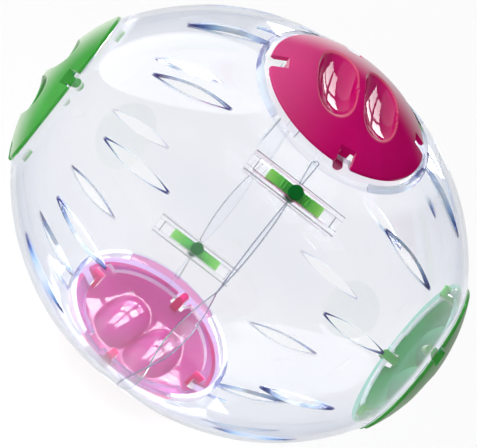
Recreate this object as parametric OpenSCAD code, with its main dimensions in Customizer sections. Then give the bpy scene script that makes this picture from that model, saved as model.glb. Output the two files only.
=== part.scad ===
// Hamster ball: two clear half shells that lap at a waving seam round the equator, a pair of
// slide latches across that seam, and four twist-in caps with finger recesses.
// Origin at the ball's centre. +X along the long axis, +Z through the top side cap.

/* [Ball] */
// Diameter of the ball at its equator, where the half shells meet
ball_d = 152; // [140:1:190]
// Distance between the seats of the two end caps, along the long axis
seat_span = 164.4; // [150:1:200]
// How far a side cap's seat lies below the ball's surface at the equator
side_sink = 7; // [5:0.5:12]
// Wall thickness of the half shells
wall = 2; // [1.6:0.1:2.6]

/* [Seam] */
// Furthest that a lapping tongue reaches past the equator
lap_reach = 2.8; // [1.5:0.1:4]
// Straight part of the profile beyond the tongues' reach
band_margin = 1.2; // [0.6:0.1:2]
// Room left round a tongue and between the two lapping layers
lap_gap = 0.1; // [0.05:0.01:0.2]

/* [Vents] */
// Number of vent slots round each half shell
vent_count = 12; // [8:1:16]
// Length of a vent slot, along the long axis
vent_len = 27; // [16:1:30]
// Width of a vent slot at its middle
vent_w = 4.8; // [3:0.1:6]
// Distance from the equator to the middle of a vent slot
vent_at = 48.4; // [44:0.5:52]

/* [Caps] */
// Diameter of a cap at its rim
cap_d = 67; // [64:0.5:70]
// Height of a cap's crown above its seat
cap_h = 10; // [9:0.5:13]
// Height of the upright edge of a cap's rim
cap_edge = 1.3; // [0.8:0.1:2]
// Wall thickness of a cap
cap_wall = 1.8; // [1.4:0.1:2.2]
// Width of a rim notch
notch_w = 6.4; // [4.5:0.1:8]
// Thickness of the stem that carries a bayonet lug
stem_t = 1.6; // [1.2:0.1:2]
// Width of a bayonet lug and its stem
lug_w = 3.6; // [3:0.1:4.4]
// Height of a bayonet lug
lug_h = 2.4; // [1.8:0.1:2.5]
// How far a bayonet lug stands out from its stem
lug_reach = 3; // [2:0.1:3.4]

/* [Finger recesses] */
// Width of the round tool shape that scoops a recess
recess_w = 16.4; // [14:0.2:17]
// Length of a recess on the dome
recess_len = 36; // [28:1:38]
// Depth of a recess below the dome
recess_depth = 7; // [4:0.2:7.4]
// Width of the grip ridge between the two recesses
ridge_w = 3; // [2:0.2:6]

/* [Cap seats] */
// How far a cap's rim reaches past the opening that it closes
rim_lap = 5.5; // [4.5:0.1:7]
// Thickness of the flange that the lugs pass under
flange_t = 2; // [1.6:0.1:2.2]
// How far the seat ring round a side cap reaches past the cap's rim
ring_margin = 2.5; // [1.5:0.1:4]
// Angle of a side cap's notches from the long axis, as the cap sits locked
side_lock_deg = 14; // [0:1:40]
// Angle of an end cap's notches from the upright, as the cap sits locked
end_lock_deg = 43; // [20:1:60]
// Twist from locked to free
twist_deg = 15; // [12:1:20]
// Room between a cap and its seat, and between a lug and the flange
seat_gap = 0.15; // [0.1:0.05:0.3]
// Room on each side of a lug in its entry gap
lug_side_gap = 1.9; // [0.5:0.1:2.2]
// How far the skirt of a side seat reaches below the wall's inner face
skirt_reach = 0.65; // [0.3:0.05:2]
// Room between the stems and the edge of their opening
stem_gap = 0.4; // [0.2:0.05:0.6]

/* [Index ribs] */
// Width of an index rib beside a side cap
rib_w = 1.6; // [1:0.1:2]
// How far a rib stands out of the shell
rib_h = 0.4; // [0.2:0.1:0.8]
// Length of a rib
rib_len = 7.5; // [5:0.5:10]
// Distance of the inner rib from the long axis
rib_inner_at = 8.5; // [6:0.5:12]
// Distance of the outer rib from the long axis
rib_outer_at = 28.8; // [24:0.4:31]

/* [Latches] */
// Angle of the front latch from the top, towards the front
latch_deg = 39.5; // [37:0.5:44]
// Length of a latch bar
bar_len = 23.2; // [20:0.2:25]
// Width of a latch bar
bar_w = 4; // [3.6:0.1:5]
// Thickness of a latch bar
bar_t = 2.8; // [2:0.1:3.2]
// Travel of a latch bar to each side of the middle
bar_travel = 4.7; // [3:0.1:5.5]
// Room round a latch bar in its groove
bar_gap = 0.15; // [0.1:0.05:0.3]
// Width of a rail beside the groove
rail_w = 1.95; // [1.4:0.05:2.4]
// Wall beyond the end of the groove
rail_end = 2.95; // [2:0.05:4]
// How deep the groove's floor lies below the equator's surface
floor_drop = 2; // [1.6:0.1:2.4]
// Thickness of the groove's floor
floor_t = 2; // [1.6:0.1:2.4]
// How far the rails stand above the equator's surface
rail_rise = 0.8; // [0.4:0.1:1.4]
// Diameter of the peg's knob and of its inner head
knob_d = 5.2; // [4.6:0.1:6]
// Height of the knob
knob_h = 2; // [1.2:0.1:3]
// Diameter of the peg's shank
shank_d = 3; // [2.4:0.1:3.4]
// Thickness of the peg's inner head
head_t = 1.4; // [1:0.1:2]
// Radius of a grip bead across a latch bar
bead_r = 0.45; // [0.3:0.05:0.6]

/* [Hidden] */

// Smoothness of large and of small round shapes
fine = 160;
small = 48;
// Straight bands that stand for the round of the profile, from equator to end seat
profile_steps = 12;
// Overrun of every cut
over = 1;

// Profile of the ball: a straight band at the equator and an arc from there to the end seat
ball_r = ball_d / 2;
seat_x = seat_span / 2;
side_z = ball_r - side_sink;
cap_r = cap_d / 2;
arc_x = lap_reach + band_margin;
arc_run = seat_x - arc_x;
arc_drop = ball_r - cap_r;
arc_r = (arc_run * arc_run + arc_drop * arc_drop) / (2 * arc_drop);
arc_centre_r = ball_r - arc_r;

// Seam tongues: where the lap changes sides, and each tongue's reach as a share
side_turn_deg = 67.3;
lap_edges_deg = [-latch_deg, latch_deg, latch_deg + side_turn_deg / 2,
    latch_deg + side_turn_deg, 180 - latch_deg, 180 + latch_deg,
    180 + latch_deg + side_turn_deg / 2, 180 + latch_deg + side_turn_deg, 360 - latch_deg];
lap_reach_shares = [1, 0.35, 1, 0.8, 1, 0.8, 1, 0.35];
lap_r = ball_r - wall / 2;
cabin_r = ball_r - wall;

// Vent slots start at the top and stand evenly round the ball
vent_step_deg = 360 / vent_count;

// Cap dome and finger recesses, in the cap's own frame with its seat at zero
dome_rise = cap_h - cap_edge;
dome_r = (cap_r * cap_r + dome_rise * dome_rise) / (2 * dome_rise);
dome_z = cap_h - dome_r;
function dome_at(r) = dome_z + sqrt(dome_r * dome_r - r * r);
scoop_r = recess_w / 2;
scoop_half_w = sqrt(scoop_r * scoop_r - (scoop_r - recess_depth) * (scoop_r - recess_depth));
scoop_x = ridge_w / 2 + scoop_half_w;
scoop_low = dome_at(scoop_x) - recess_depth;
scoop_half_len = recess_len / 2;
scoop_sag = dome_at(norm([scoop_x, scoop_half_len])) - scoop_low;
scoop_bow_r = (scoop_half_len * scoop_half_len + scoop_sag * scoop_sag) / (2 * scoop_sag);
scoop_path_r = scoop_bow_r - scoop_r;
scoop_z = scoop_low + scoop_bow_r;

// Cap seat
opening_r = cap_r - rim_lap;
stem_r = opening_r - stem_gap;
ring_r = cap_r + ring_margin;
lug_top = -flange_t - seat_gap;
lug_low = lug_top - lug_h;
lug_r = stem_r + lug_reach;
lug_gap_w = lug_w + 2 * lug_side_gap;
lug_gap_r = lug_r + stem_gap;
skirt_low = min(sqrt(cabin_r * cabin_r - ring_r * ring_r), side_z - flange_t) - skirt_reach;
skirt_h = side_z - skirt_low;
// Lugs, notches and entry gaps stand every quarter turn
quarter_deg = 90;

// Latch, measured outwards from the ball's axis
floor_top = ball_r - floor_drop;
floor_low = floor_top - floor_t;
rail_top = ball_r + rail_rise;
groove_half_w = bar_w / 2 + bar_gap;
groove_half_len = bar_len / 2 + bar_travel + bar_gap;
pad_half_w = groove_half_w + rail_w;
pad_half_len = groove_half_len + rail_end;
bar_low = floor_top + bar_gap;
bar_top = bar_low + bar_t;
knob_low = max(bar_top, rail_top + bar_gap);
shank_gap = 0.2;
slot_r = shank_d / 2 + shank_gap;
head_top = floor_low - bar_gap;
head_low = head_top - head_t;
bead_at_shares = [0.36, 0.48];

shell_blue = [0.86, 0.89, 0.97, 0.35];
cap_green = [0.2, 0.68, 0.28];
cap_pink = [0.78, 0.03, 0.42];
latch_green = [0.3, 0.72, 0.3];
peg_green = [0.04, 0.45, 0.15];

// Points of the profile drawn in by inset, from the equator out to reach
function profile_points(inset, reach) =
    let (steep = asin((reach - arc_x) / (arc_r - inset)))
    concat([[ball_r - inset, 0]],
        [for (i = [0 : profile_steps])
            [arc_centre_r + (arc_r - inset) * cos(steep * i / profile_steps),
                arc_x + (arc_r - inset) * sin(steep * i / profile_steps)]]);
function turned_back(points) = [for (i = [len(points) - 1 : -1 : 0]) points[i]];

// Shape revolved round the long axis, from the equator to the left or to the right
module revolved(side) {
    rotate([0, 0, side < 0 ? 180 : 0]) rotate([0, 90, 0]) rotate_extrude($fn = fine) children();
}

// Block that holds one half of all space near the ball
module half_space(side) {
    translate([side < 0 ? -ball_d : 0, -ball_d, -ball_d])
        cube([ball_d, 2 * ball_d, 2 * ball_d]);
}

// Ring round the equator, over the straight band of the profile
module equator_band(inner_r, outer_r) {
    rotate([0, 90, 0]) difference() {
        cylinder(r = outer_r, h = 2 * arc_x, center = true, $fn = fine);
        cylinder(r = inner_r, h = 2 * arc_x + over, center = true, $fn = fine);
    }
}

// Pointed oval on the XY plane, along Y
module pointed_oval(half_len, half_w) {
    arc_r = (half_len * half_len + half_w * half_w) / (2 * half_w);
    intersection_for (side = [-1, 1])
        translate([side * (arc_r - half_w), 0]) circle(r = arc_r, $fn = fine);
}

// Things placed round the long axis: at an angle from the top towards the front
module around(angle) {
    rotate([angle, 0, 0]) children();
}

// Seam tongues of one parity, grown by extra: even ones belong outside to the left shell
module tongues(parity, extra) {
    for (i = [parity : 2 : len(lap_reach_shares) - 1]) {
        half_angle = (lap_edges_deg[i + 1] - lap_edges_deg[i]) / 2;
        around(lap_edges_deg[i] + half_angle)
            linear_extrude(height = ball_d)
                pointed_oval(ball_r * sin(half_angle) + extra,
                    lap_reach * lap_reach_shares[i] + extra);
    }
}

// What the tongues keep clear of: side seat rings and latch pads
module tongue_stops() {
    cylinder(r = ring_r + lap_gap, h = 2 * ball_d, center = true, $fn = fine);
    for (angle = [latch_deg, latch_deg + 180]) around(angle)
        translate([-pad_half_len, -pad_half_w - lap_gap, 0])
            cube([2 * pad_half_len, 2 * (pad_half_w + lap_gap), ball_d]);
}

// Placement of a side cap's seat: turn 0 is the top one, 1 the bottom one
module on_side_seat(turn) {
    rotate([180 * turn, 0, 0]) translate([0, 0, side_z]) children();
}

// Placement of an end cap's seat: turn 0 is the left one, 1 the right one
module on_end_seat(turn) {
    rotate([0, 0, 180 * turn]) translate([-seat_x, 0, 0]) rotate([0, -90, 0]) children();
}

// Entry gaps of a seat for the lugs, cut through its flange
module entry_gaps(lock_deg) {
    translate([0, 0, -flange_t - over]) intersection() {
        cylinder(r = lug_gap_r, h = flange_t + 2 * over, $fn = fine);
        for (i = [0, 1]) rotate([0, 0, lock_deg + twist_deg + i * quarter_deg])
            translate([-ring_r, -lug_gap_w / 2, 0])
                cube([2 * ring_r, lug_gap_w, flange_t + 2 * over]);
    }
}

// Opening of a seat with its entry gaps
module seat_cut(lock_deg) {
    translate([0, 0, -flange_t - over])
        cylinder(r = opening_r, h = flange_t + 2 * over, $fn = fine);
    entry_gaps(lock_deg);
}

// Wall of one half shell, with the flange of its end seat
module shell_wall(side) {
    revolved(side) polygon(concat(profile_points(0, seat_x),
        [[opening_r, seat_x], [opening_r, seat_x - flange_t]],
        turned_back(profile_points(wall, seat_x - flange_t))));
}

// Flange and skirt of a side seat
module side_seat() {
    translate([0, 0, -skirt_h]) difference() {
        cylinder(r = ring_r, h = skirt_h, $fn = fine);
        translate([0, 0, -over])
            cylinder(r = ring_r - wall, h = skirt_h - flange_t + over, $fn = fine);
    }
}

// Index ribs beside the side caps, on one side of the ball
module index_ribs(side) {
    intersection() {
        revolved(side) polygon(concat([[0, 0]], profile_points(-rib_h, seat_x), [[0, seat_x]]));
        for (at = [rib_inner_at, rib_outer_at], turn = [0, 1])
            rotate([180 * turn, 0, 0]) rotate([0, 0, side < 0 ? 0 : 180])
                translate([-sqrt(ring_r * ring_r - at * at) - rib_len, -at - rib_w / 2,
                    side_z - skirt_h])
                    cube([rib_len + rib_w, rib_w, ball_r]);
    }
}

// Tongues of one parity as solids between two radii
module tongue_solids(parity, extra, inner_r, outer_r) {
    intersection() {
        tongues(parity, extra);
        equator_band(inner_r, outer_r);
    }
}

// One half shell: side -1 is the left one, whose outer tongues are the even ones
module half_shell(side) {
    outer_parity = side < 0 ? 0 : 1;
    difference() {
        union() {
            difference() {
                union() {
                    shell_wall(side);
                    index_ribs(side);
                }
                tongue_solids(1 - outer_parity, lap_gap, lap_r, ball_r + over);
                tongue_solids(outer_parity, lap_gap, cabin_r - over, lap_r);
                for (turn = [0, 1]) on_side_seat(turn)
                    translate([0, 0, -ball_r / 2])
                        cylinder(r = ring_r - wall / 2, h = ball_r, $fn = fine);
            }
            difference() {
                union() {
                    tongue_solids(outer_parity, 0, lap_r, ball_r);
                    tongue_solids(1 - outer_parity, 0, cabin_r, lap_r - lap_gap);
                }
                tongue_stops();
            }
            intersection() {
                half_space(side);
                union() {
                    for (turn = [0, 1]) on_side_seat(turn) side_seat();
                    for (angle = [latch_deg, latch_deg + 180]) around(angle)
                        translate([-pad_half_len, -pad_half_w, floor_low])
                            cube([2 * pad_half_len, 2 * pad_half_w, rail_top - floor_low]);
                }
            }
        }
        for (turn = [0, 1]) on_side_seat(turn) {
            seat_cut(side_lock_deg);
            cylinder(r = ring_r, h = ball_r, $fn = fine);
        }
        for (turn = [0, 1]) on_end_seat(turn) entry_gaps(end_lock_deg);
        for (angle = [latch_deg, latch_deg + 180]) around(angle) latch_cut();
        for (i = [0 : vent_count - 1]) around(i * vent_step_deg)
            translate([side * vent_at, 0, 0]) linear_extrude(height = ball_d)
                rotate([0, 0, 90]) pointed_oval(vent_len / 2, vent_w / 2);
    }
}

// Groove and peg slot of a latch
module latch_cut() {
    translate([-groove_half_len, -groove_half_w, floor_top])
        cube([2 * groove_half_len, 2 * groove_half_w, ball_r]);
    for (end = [-1, 1]) translate([end * bar_travel, 0, floor_low - over])
        cylinder(r = slot_r, h = floor_t + 2 * over, $fn = small);
    translate([-bar_travel, -slot_r, floor_low - over])
        cube([2 * bar_travel, 2 * slot_r, floor_t + 2 * over]);
}

// Ring-shaped tool of a finger recess, thickened by extra
module scoop(side, extra) {
    translate([side * scoop_x, 0, scoop_z]) rotate([0, 90, 0])
        rotate_extrude($fn = fine) translate([scoop_path_r, 0])
            circle(r = scoop_r + extra, $fn = small);
}

// Dome of a cap as a solid, drawn in by inset
module dome(inset) {
    intersection() {
        translate([0, 0, dome_z]) sphere(r = dome_r - inset, $fn = 2 * fine);
        cylinder(r = cap_r - inset, h = cap_h, $fn = fine);
    }
}

// Block of a bayonet lug or its stem, from the lug's underside up, out to a radius
module lug_part(radius, height) {
    intersection() {
        translate([0, 0, lug_low]) difference() {
            cylinder(r = radius, h = height, $fn = fine);
            translate([0, 0, -over])
                cylinder(r = stem_r - stem_t, h = height + 2 * over, $fn = fine);
        }
        translate([0, -lug_w / 2, lug_low]) cube([radius, lug_w, height]);
    }
}

// Twist-in cap, in its own frame: seat at zero, recesses to the left and right of Y
module cap() {
    difference() {
        union() {
            difference() {
                dome(0);
                translate([0, 0, -over]) cylinder(r = cap_r - cap_wall, h = cap_edge + over,
                    $fn = fine);
                dome(cap_wall);
            }
            for (side = [-1, 1]) intersection() {
                dome(0);
                scoop(side, cap_wall);
            }
            for (i = [0 : 3]) rotate([0, 0, i * quarter_deg]) {
                lug_part(stem_r, dome_at(stem_r) - cap_wall / 2 - lug_low);
                lug_part(lug_r, lug_h);
            }
        }
        for (side = [-1, 1]) scoop(side, 0);
        for (i = [0 : 3]) rotate([0, 0, i * quarter_deg])
            translate([stem_r, -notch_w / 2, -seat_gap])
                cube([cap_r, notch_w, cap_h]);
        difference() {
            translate([0, 0, -over]) cylinder(r = cap_r + over, h = over + seat_gap,
                $fn = fine);
            translate([0, 0, -2 * over]) cylinder(r = stem_r, h = 4 * over, $fn = fine);
        }
    }
}

module latch_bar(angle) {
    around(angle) difference() {
        union() {
            translate([-bar_len / 2, -bar_w / 2, bar_low]) cube([bar_len, bar_w, bar_t]);
            for (side = [-1, 1], share = bead_at_shares)
                translate([side * share * bar_len / 2, 0, bar_top]) rotate([90, 0, 0])
                    cylinder(r = bead_r, h = bar_w - 2 * bead_r, center = true, $fn = small);
        }
        translate([0, 0, bar_low - over])
            cylinder(d = shank_d, h = bar_t + 2 * over, $fn = small);
    }
}

module latch_peg(angle) {
    around(angle) {
        translate([0, 0, head_low]) cylinder(d = knob_d, h = head_t, $fn = small);
        translate([0, 0, head_low]) cylinder(d = shank_d, h = knob_low - head_low + over,
            $fn = small);
        translate([0, 0, knob_low]) cylinder(d = knob_d, h = knob_h, $fn = small);
    }
}

module half_shell_left() { color(shell_blue) half_shell(-1); }
module half_shell_right() { color(shell_blue) half_shell(1); }
module end_cap_left() { color(cap_green) on_end_seat(0) rotate([0, 0, end_lock_deg]) cap(); }
module end_cap_right() {
    color(cap_green) on_end_seat(1) rotate([0, 0, end_lock_deg + quarter_deg]) cap();
}
module side_cap_top() { color(cap_pink) on_side_seat(0) rotate([0, 0, side_lock_deg]) cap(); }
module side_cap_bottom() {
    color(cap_pink) on_side_seat(1) rotate([0, 0, side_lock_deg]) cap();
}
module latch_bar_front() { color(latch_green) latch_bar(latch_deg); }
module latch_bar_back() { color(latch_green) latch_bar(latch_deg + 180); }
module latch_peg_front() { color(peg_green) latch_peg(latch_deg); }
module latch_peg_back() { color(peg_green) latch_peg(latch_deg + 180); }

half_shell_left();
half_shell_right();
end_cap_left();
end_cap_right();
side_cap_top();
side_cap_bottom();
latch_bar_front();
latch_bar_back();
latch_peg_front();
latch_peg_back();
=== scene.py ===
import math

import bmesh
import bpy
import numpy as np
from mathutils import Matrix, Vector


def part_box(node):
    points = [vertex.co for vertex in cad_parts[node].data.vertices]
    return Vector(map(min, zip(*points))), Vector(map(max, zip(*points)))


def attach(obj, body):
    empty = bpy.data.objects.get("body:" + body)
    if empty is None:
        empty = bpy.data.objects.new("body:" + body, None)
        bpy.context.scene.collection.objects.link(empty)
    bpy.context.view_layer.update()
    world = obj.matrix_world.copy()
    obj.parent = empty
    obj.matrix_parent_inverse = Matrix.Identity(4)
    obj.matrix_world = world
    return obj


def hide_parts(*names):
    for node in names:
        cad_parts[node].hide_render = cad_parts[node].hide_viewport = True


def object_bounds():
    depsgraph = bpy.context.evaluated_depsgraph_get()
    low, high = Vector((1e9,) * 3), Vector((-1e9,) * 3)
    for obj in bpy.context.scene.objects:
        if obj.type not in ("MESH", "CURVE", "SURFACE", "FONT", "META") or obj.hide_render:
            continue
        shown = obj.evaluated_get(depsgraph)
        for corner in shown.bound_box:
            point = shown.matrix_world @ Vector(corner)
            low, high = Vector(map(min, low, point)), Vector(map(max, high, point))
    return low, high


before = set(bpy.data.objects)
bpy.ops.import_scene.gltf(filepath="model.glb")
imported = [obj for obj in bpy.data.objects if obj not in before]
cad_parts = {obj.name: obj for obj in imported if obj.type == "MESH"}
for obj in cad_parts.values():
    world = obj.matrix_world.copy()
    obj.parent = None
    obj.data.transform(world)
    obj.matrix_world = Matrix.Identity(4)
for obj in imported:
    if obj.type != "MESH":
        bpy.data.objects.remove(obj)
cad_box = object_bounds()

# All shapes below are worked out in millimetres and scaled to metres once, when a mesh is made
MM = 0.001

# Sizes read from the frame: the ball at its equator, its end seats and a side cap's top
shell_low, shell_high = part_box("half_shell_left")
BALL_R = shell_high.y / MM
SEAT_X = -shell_low.x / MM
CAP_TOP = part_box("side_cap_top")[1].z / MM

# Height and radius of a cap, the plane of a side seat below it, and the shell's wall
CAP_H = 10.0
CAP_R = 33.5
SIDE_Z = CAP_TOP - CAP_H
WALL = 2.0

# Profile of the ball: a straight band at the equator, then one arc to the end seat
BAND_X = 4.0
ARC_RUN = SEAT_X - BAND_X
ARC_DROP = BALL_R - CAP_R
ARC_R = (ARC_RUN ** 2 + ARC_DROP ** 2) / (2 * ARC_DROP)
ARC_CENTRE = BALL_R - ARC_R
PROFILE_STEPS = 44

# Seam: where the laps change sides, and each lap's reach past the equator; the phase keeps its steps
# off the middle planes of the seats and vents
LATCH_DEG = 39.5
SIDE_TURN = 67.3
LAP_EDGES = [-LATCH_DEG, LATCH_DEG, LATCH_DEG + SIDE_TURN / 2, LATCH_DEG + SIDE_TURN,
             180 - LATCH_DEG, 180 + LATCH_DEG, 180 + LATCH_DEG + SIDE_TURN / 2,
             180 + LATCH_DEG + SIDE_TURN, 360 - LATCH_DEG]
LAP_REACH = 2.8
LAP_SHARES = [1, 0.35, 1, 0.8, 1, 0.8, 1, 0.35]
LAP_GAP = 0.1
LAP_STEP = 0.001
SEAM_BEVEL = 0.2
SEAM_STEPS = 480
SEAM_PHASE = 0.37

# Vents
VENT_COUNT = 12
VENT_AT = 48.4
VENT_LEN = 27.0
VENT_W = 4.8
VENT_ARC_R = ((VENT_LEN / 2) ** 2 + (VENT_W / 2) ** 2) / VENT_W
VENT_STEPS = 20

# Seats; the wall reaches a little way into a side seat's ring, so that the two join
OPENING_R = 28.0
FLANGE_T = 2.0
RING_R = 36.0
RING_ROOT = 0.3
RING_STEPS = 90
SKIRT_H = 5.0
SEAT_HOLE_LOW = -40.0
SEAT_HOLE_HIGH = 30.0
SIDE_LOCK = 14.0
END_LOCK = 43.0
TWIST = 15.0
GAP_W = 7.4
GAP_R = 31.0
DISC_STEPS = 160

# Index ribs beside the side seats
RIB_AT = (8.5, 28.8)
RIB_LEN = 7.5
RIB_HALF_W = 0.8
RIB_H = 0.4
RIB_ROOT = 0.6
RIB_STEPS = 8

# Latches
PAD_HALF_L = 19.4
PAD_HALF_W = 4.1
GROOVE_HALF_L = 16.45
GROOVE_HALF_W = 2.15
FLOOR_TOP = BALL_R - 2.0
FLOOR_LOW = FLOOR_TOP - 2.0
RAIL_TOP = BALL_R + 0.8
BAR_HALF_L = 11.6
BAR_ROUND = 0.3
TRAVEL = 4.7
SLOT_R = 1.7
SLOT_STEPS = 12

# Cap: dome, finger recesses, rim notches, stems and lugs, in the cap's own frame with its seat at zero
CAP_EDGE = 1.3
CAP_WALL = 1.8
CAP_ROUND = 0.35
CAP_EYE = 0.05
CAP_RINGS = 84
CAP_STEPS = 240
ROUND_STEPS = 4
SEAT_GAP = 0.15
DOME_RISE = CAP_H - CAP_EDGE
DOME_R = (CAP_R ** 2 + DOME_RISE ** 2) / (2 * DOME_RISE)
DOME_Z = CAP_H - DOME_R
SCOOP_R = 8.2
RECESS_DEPTH = 7.0
RECESS_HALF_L = 18.0
RIDGE_W = 3.0
SCOOP_HALF_W = math.sqrt(SCOOP_R ** 2 - (SCOOP_R - RECESS_DEPTH) ** 2)
SCOOP_X = RIDGE_W / 2 + SCOOP_HALF_W
LIP_R = 0.7
# Width of the band along a recess's lip that takes a painted highlight
LIP_HIGHLIGHT_W = 0.4
NOTCH_HALF_W = 3.2
NOTCH_MOUTH_R = 1.0
NOTCH_STEPS = 6
STEM_R = 27.6
STEM_T = 1.6
LUG_REACH = 3.0
LUG_HALF_W = 1.8
LUG_H = 2.4
LUG_STEPS = 12

# How far a tool runs past what it cuts, and a hair that keeps two faces out of one plane
OVER = 1.0
FAR_OVER = 9.0
NOTCH_OVER = 5.0
HOLLOW_OVER = 3.0
HAIR = 0.02

# A corner this near to a surface lies on it, and a face this square to it is part of it; corners this
# close to each other are one
NEAR = 0.03
SQUARE = 0.9
CAP_SQUARE = 0.8
WELD = 0.0001


def dome_height(rho, inset=0.0):
    """Height of the cap's dome at a distance from its axis."""
    return DOME_Z + np.sqrt((DOME_R - inset) ** 2 - rho ** 2)


SCOOP_LOW = float(dome_height(SCOOP_X)) - RECESS_DEPTH
SCOOP_SAG = float(dome_height(math.hypot(SCOOP_X, RECESS_HALF_L))) - SCOOP_LOW
SCOOP_BOW = (RECESS_HALF_L ** 2 + SCOOP_SAG ** 2) / (2 * SCOOP_SAG)
SCOOP_PATH = SCOOP_BOW - SCOOP_R
SCOOP_Z = SCOOP_LOW + SCOOP_BOW


# Tools for shapes

def linked(name, data):
    """A new object in the scene."""
    obj = bpy.data.objects.new(name, data)
    bpy.context.scene.collection.objects.link(obj)
    return obj


def dress(obj, materials):
    """Gives an object its material slots, in place of those it has."""
    obj.data.materials.clear()
    for material in materials:
        obj.data.materials.append(material)


def turned(axis, deg):
    """A turn about an axis through the origin."""
    return Matrix.Rotation(math.radians(deg), 4, axis)


def moved(x, y, z):
    """A move given in millimetres."""
    return Matrix.Translation((x * MM, y * MM, z * MM))


def side_seat(turn):
    """Place of a side seat: its plane at zero and the outside upwards."""
    return turned("X", 180 * turn) @ moved(0, 0, SIDE_Z)


def end_seat(turn):
    """Place of an end seat, in the same way."""
    return turned("Z", 180 * turn) @ moved(-SEAT_X, 0, 0) @ turned("Y", -90)


def latch_place(turn):
    """Turn that brings a latch drawn at the ball's top to its place."""
    return turned("X", LATCH_DEG + 180 * turn)


def loft(rings, capped=False):
    """Vertices and faces of a skin over rings of equal length, with flat ends or joined end to end."""
    n = len(rings[0])
    verts = [p for ring in rings for p in ring]
    faces = []
    count = len(rings)
    for i in range(count - 1 if capped else count):
        a, b = i * n, ((i + 1) % count) * n
        for j in range(n):
            k = (j + 1) % n
            faces.append((a + j, a + k, b + k, b + j))
    if capped:
        faces.append(tuple(range(n - 1, -1, -1)))
        faces.append(tuple((count - 1) * n + j for j in range(n)))
    return verts, faces


def piece(name, verts, faces, matrix=None):
    """An object with outward normals, from vertices in millimetres."""
    mesh = bpy.data.meshes.new(name)
    mesh.from_pydata([tuple(float(c) * MM for c in v) for v in verts], [], faces)
    mesh.update()
    if matrix is not None:
        mesh.transform(matrix)
    bm = bmesh.new()
    bm.from_mesh(mesh)
    bmesh.ops.remove_doubles(bm, verts=bm.verts, dist=WELD * MM)
    bmesh.ops.recalc_face_normals(bm, faces=bm.faces)
    bm.to_mesh(mesh)
    bm.free()
    return linked(name, mesh)


def prism(outline, z0, z1, matrix=None):
    """An upright solid over an outline."""
    rings = [[(x, y, z) for x, y in outline] for z in (z0, z1)]
    return piece("prism", *loft(rings, capped=True), matrix)


def block(low, high, matrix=None):
    """A box between two corners."""
    (x0, y0, z0), (x1, y1, z1) = low, high
    return prism([(x0, y0), (x1, y0), (x1, y1), (x0, y1)], z0, z1, matrix)


def arc_points(cx, cy, r, start, stop, steps):
    """Points of an arc between two angles in degrees."""
    angles = [math.radians(start + (stop - start) * i / steps) for i in range(steps + 1)]
    return [(cx + r * math.cos(a), cy + r * math.sin(a)) for a in angles]


def disc(r, z0, z1, matrix=None):
    """A round solid about the z axis."""
    outline = arc_points(0, 0, r, 0, 360 - 360 / DISC_STEPS, DISC_STEPS - 1)
    return prism(outline, z0, z1, matrix)


def pointed_oval(half_len, half_w, steps):
    """Outline of two arcs that meet in points."""
    r = (half_len ** 2 + half_w ** 2) / (2 * half_w)
    spread = math.degrees(math.asin(half_len / r))
    one = arc_points(0, half_w - r, r, 90 - spread, 90 + spread, steps)
    two = arc_points(0, r - half_w, r, 270 - spread, 270 + spread, steps)
    return one[:-1] + two[:-1]


def carve(target, tools, operation):
    """Boolean of target with each tool in turn; the tools are used up."""
    for tool in tools:
        modifier = target.modifiers.new("cut", "BOOLEAN")
        modifier.operation = operation
        modifier.solver = "MANIFOLD"
        modifier.object = tool
        graph = bpy.context.evaluated_depsgraph_get()
        mesh = bpy.data.meshes.new_from_object(target.evaluated_get(graph))
        target.modifiers.clear()
        old = target.data
        target.data = mesh
        bpy.data.meshes.remove(old)
        bpy.data.objects.remove(tool)
    return target


def points_of(mesh):
    """A mesh's vertices in millimetres."""
    co = np.empty(len(mesh.vertices) * 3)
    mesh.vertices.foreach_get("co", co)
    return co.reshape(-1, 3) / MM


# Half shells

def wall_r(x, inset=0.0):
    """Distance of the ball's surface from the long axis."""
    run = np.maximum(np.abs(x) - BAND_X, 0.0)
    return ARC_CENTRE + np.sqrt((ARC_R - inset) ** 2 - run ** 2)


def seam_offset(deg):
    """How far the outer lap's edge stands from the equator, positive towards the right half."""
    deg = (deg + LATCH_DEG) % 360 - LATCH_DEG
    pad_deg = math.degrees((PAD_HALF_W + LAP_GAP) / BALL_R)
    at_seat = abs(math.sin(math.radians(deg))) * BALL_R < RING_R
    at_latch = min(abs(deg - LATCH_DEG), abs(deg - LATCH_DEG - 180)) < pad_deg
    if at_seat or at_latch:
        return 0.0
    for i, share in enumerate(LAP_SHARES):
        low, high = LAP_EDGES[i], LAP_EDGES[i + 1]
        if low <= deg <= high:
            half = (high - low) / 2
            along = math.sin(math.radians(deg - low - half)) / math.sin(math.radians(half))
            return (1 if i % 2 == 0 else -1) * LAP_REACH * share * (1 - along ** 2)
    return 0.0


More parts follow.
